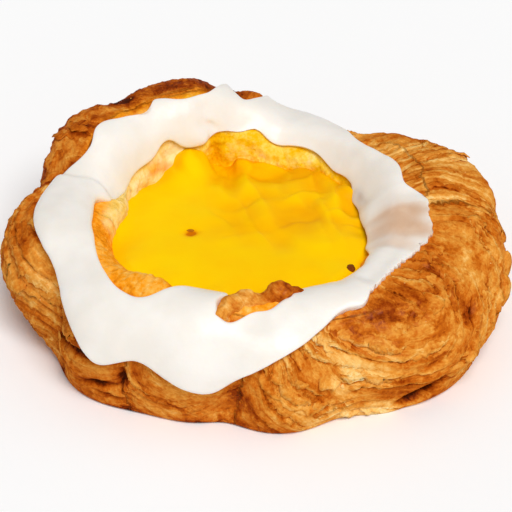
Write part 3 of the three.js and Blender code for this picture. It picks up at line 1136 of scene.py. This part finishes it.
def add_flakes(crust, axis, icing_skin):
    """Thin leaves of crust that have come up along one edge."""
    chance = random.Random(FLAKE_SEED)
    skin = skin_of(crust)
    mesh = crust.data
    points = mesh.vertices
    outsides = read(mesh, "outside")
    ledges = read(mesh, "ledge")
    toasts = read(mesh, "toast")
    leaves = [item.vector.copy() for item in mesh.attributes["leaves"].data]
    angles = [bearing(point.co.x - axis.x, point.co.y - axis.y) for point in points]
    likely = bare_spots(crust, icing_skin, lambda index: (
        ledges[index] > 0.5 and outsides[index] > 0.05 and points[index].co.z > 3 * MM))
    wanted = []
    for angle, outside, length, width, lift in LOOSE:
        index = min(range(len(points)), key=lambda i: (
            (turn(angle, angles[i]) / 40) ** 2 + (outsides[i] - outside) ** 2))
        wanted.append((index, length, width, lift))
    for _ in range(FLAKES):
        wanted.append((
            chance.choice(likely),
            chance.uniform(*FLAKE_LENGTHS),
            chance.uniform(*FLAKE_WIDTHS),
            chance.uniform(*FLAKE_LIFTS),
        ))
    shape = bmesh.new()
    flake_toasts = []
    flake_leaves = []
    for index, length, width, lift in wanted:
        spot = points[index].co
        across = way_across(points[index], angles[index], outsides[index], axis)
        along = points[index].normal.cross(across)
        tatter = Vector((0, chance.uniform(0, 90), 2))
        flake = bmesh.ops.create_grid(shape, x_segments=8, y_segments=3, size=0.5)["verts"]
        for corner in flake:
            off = corner.co.x * 2
            out = corner.co.y + 0.5
            ragged = tatter + Vector((off * 2, 0, 0))
            notch = 0.9 + 0.5 * noise.noise(ragged) + 0.3 * noise.noise(ragged * 3)
            notch *= 1 - 0.7 * off ** 4
            aim = along * (off * length / 2) + across * ((out * notch - 0.35) * width)
            rest, up, _, _ = skin.find_nearest(spot + aim * MM)
            rise = (0.25 + lift) * out * (1 - 0.6 * off * off) - 0.12
            corner.co = rest + up * rise * MM
            corner.co.z = max(corner.co.z, 0.15 * MM)
            flake_toasts.append(toasts[index] - 0.02 - 0.08 * out)
            flake_leaves.append(leaves[index] + Vector((out * 0.6, off * length / 2, 0)))
    flakes = piece_from(shape, "lifted_flakes")
    marked(flakes.data, "toast", flake_toasts)
    marked(flakes.data, "leaves", flake_leaves, "FLOAT_VECTOR")
    backing = flakes.modifiers.new("thickness", "SOLIDIFY")
    backing.thickness = FLAKE_THICKNESS * MM
    backing.offset = 0
    flakes.data.shade_smooth()
    return flakes


def add_crumbs(crust, icing_skin):
    """Crumbs of crust that lie on the pastry."""
    chance = random.Random(CRUMB_SEED)
    points = crust.data.vertices
    outsides = read(crust.data, "outside")
    likely = bare_spots(crust, icing_skin, lambda index: (
        0.05 < outsides[index] < 0.7 and points[index].normal.z > 0.15))
    spots = [
        (points[chance.choice(likely)], chance.uniform(*CRUMB_SIZES)) for _ in range(CRUMBS)
    ]
    middle, radius = LARGE_CRUMB
    nearest = min(points, key=lambda point: (point.co - Vector(middle) * MM).length)
    spots.append((nearest, radius))
    shape = bmesh.new()
    for point, size in spots:
        crumb = bmesh.ops.create_icosphere(shape, subdivisions=1, radius=size * MM)["verts"]
        for corner in crumb:
            corner.co *= chance.uniform(0.65, 1.2)
            corner.co += point.co + point.normal * size * 0.3 * MM
    return piece_from(shape, "crumbs")


def add_speck(custard, name, across, back, width, depth, height):
    """A baked speck on the custard."""
    chance = random.Random(name)
    shape = bmesh.new()
    above = Vector((across, back, 60)) * MM
    spot = skin_of(custard).ray_cast(above, DOWN)[0]
    for corner in bmesh.ops.create_icosphere(shape, subdivisions=3, radius=1)["verts"]:
        corner.co *= 1 + 0.25 * noise.noise(corner.co * 1.3) + chance.uniform(-0.06, 0.06)
        corner.co = spot + Vector((
            corner.co.x * width, corner.co.y * depth, corner.co.z * height)) * MM
    return piece_from(shape, name)


def add_floor():
    """The plain pale floor."""
    shape = bmesh.new()
    bmesh.ops.create_grid(shape, x_segments=1, y_segments=1, size=FLOOR_HALF)
    bmesh.ops.translate(shape, verts=shape.verts, vec=(0, 0, -0.1 * MM))
    floor = piece_from(shape, "floor")
    finish = Finish("pale floor", {
        "Base Color": FLOOR_WHITE,
        "Roughness": 0.8,
        "Specular IOR Level": 0.1,
    })
    floor.data.materials.append(finish.material)


def add_camera():
    """A camera from the front, as high and as far as in the photograph."""
    look_at = Vector(LOOK_AT) * MM
    height = math.radians(CAMERA_HEIGHT)
    away = CAMERA_AWAY * MM
    data = bpy.data.cameras.new("camera")
    data.sensor_width = SENSOR
    data.lens = SENSOR * FOCAL_PIXELS / IMAGE_PIXELS
    data.clip_start = NEAREST
    camera = bpy.data.objects.new("camera", data)
    camera.location = look_at + Vector((0, -math.cos(height), math.sin(height))) * away
    camera.rotation_euler = (look_at - camera.location).to_track_quat("-Z", "Y").to_euler()
    bpy.context.collection.objects.link(camera)
    bpy.context.scene.camera = camera


def add_studio():
    """Soft light from all round, and a broad lamp above the front."""
    scene = bpy.context.scene
    world = bpy.data.worlds.new("studio")
    world.use_nodes = True
    backdrop = world.node_tree.nodes["Background"].inputs
    backdrop["Color"].default_value = (1, 1, 1, 1)
    backdrop["Strength"].default_value = ROUND_LIGHT
    scene.world = world
    scene.view_settings.view_transform = "Standard"
    data = bpy.data.lights.new("broad lamp", "SUN")
    data.energy = LAMP_STRENGTH
    data.angle = math.radians(LAMP_BREADTH)
    lamp = bpy.data.objects.new("broad lamp", data)
    lamp.rotation_euler = Vector(LAMP_WAY).to_track_quat("-Z", "Y").to_euler()
    bpy.context.collection.objects.link(lamp)


add_camera()
add_floor()
add_studio()

icing = rounded(merged("icing"), "icing_coat", ICING_LEVELS)
icing_skin = skin_of(icing)

dough_cage = merged("dough")
well_axis = mark_outside(dough_cage)
evened(dough_cage, EVEN_ROUNDS)
crust = rounded(dough_cage, "crust_leaves", CRUST_LEVELS)
smooth_skin = skin_of(crust)
carve_crust(crust, well_axis, icing_skin)
flaky = crust_finish()
finished(crust, flaky, "crust", "dough")

shape_icing(icing, well_axis, smooth_skin)
bed_down(icing, smooth_skin, *ICING_BED, True)
finished(icing, icing_finish(), "icing", "icing")

custard = rounded(merged("custard"), "custard_pool", CUSTARD_LEVELS)
shape_custard(custard, well_axis)
bed_down(custard, smooth_skin, *CUSTARD_BED, False)
finished(custard, custard_finish(), "custard", "custard")

finished(add_knobs(), flaky, "crust")
finished(add_flakes(crust, well_axis, icing_skin), flaky, "crust")
finished(add_crumbs(crust, icing_skin), crumb_finish("crumbs", *PALE_CRUMB), "crust")
brown_crumb = crumb_finish("baked fleck", *BROWN_CRUMB)
finished(add_speck(custard, "baked_fleck", *FLECK), brown_crumb, "crust")
dark_crumb = crumb_finish("baked speck", *DARK_CRUMB)
finished(add_speck(custard, "baked_speck", *SPECK), dark_crumb, "crust")
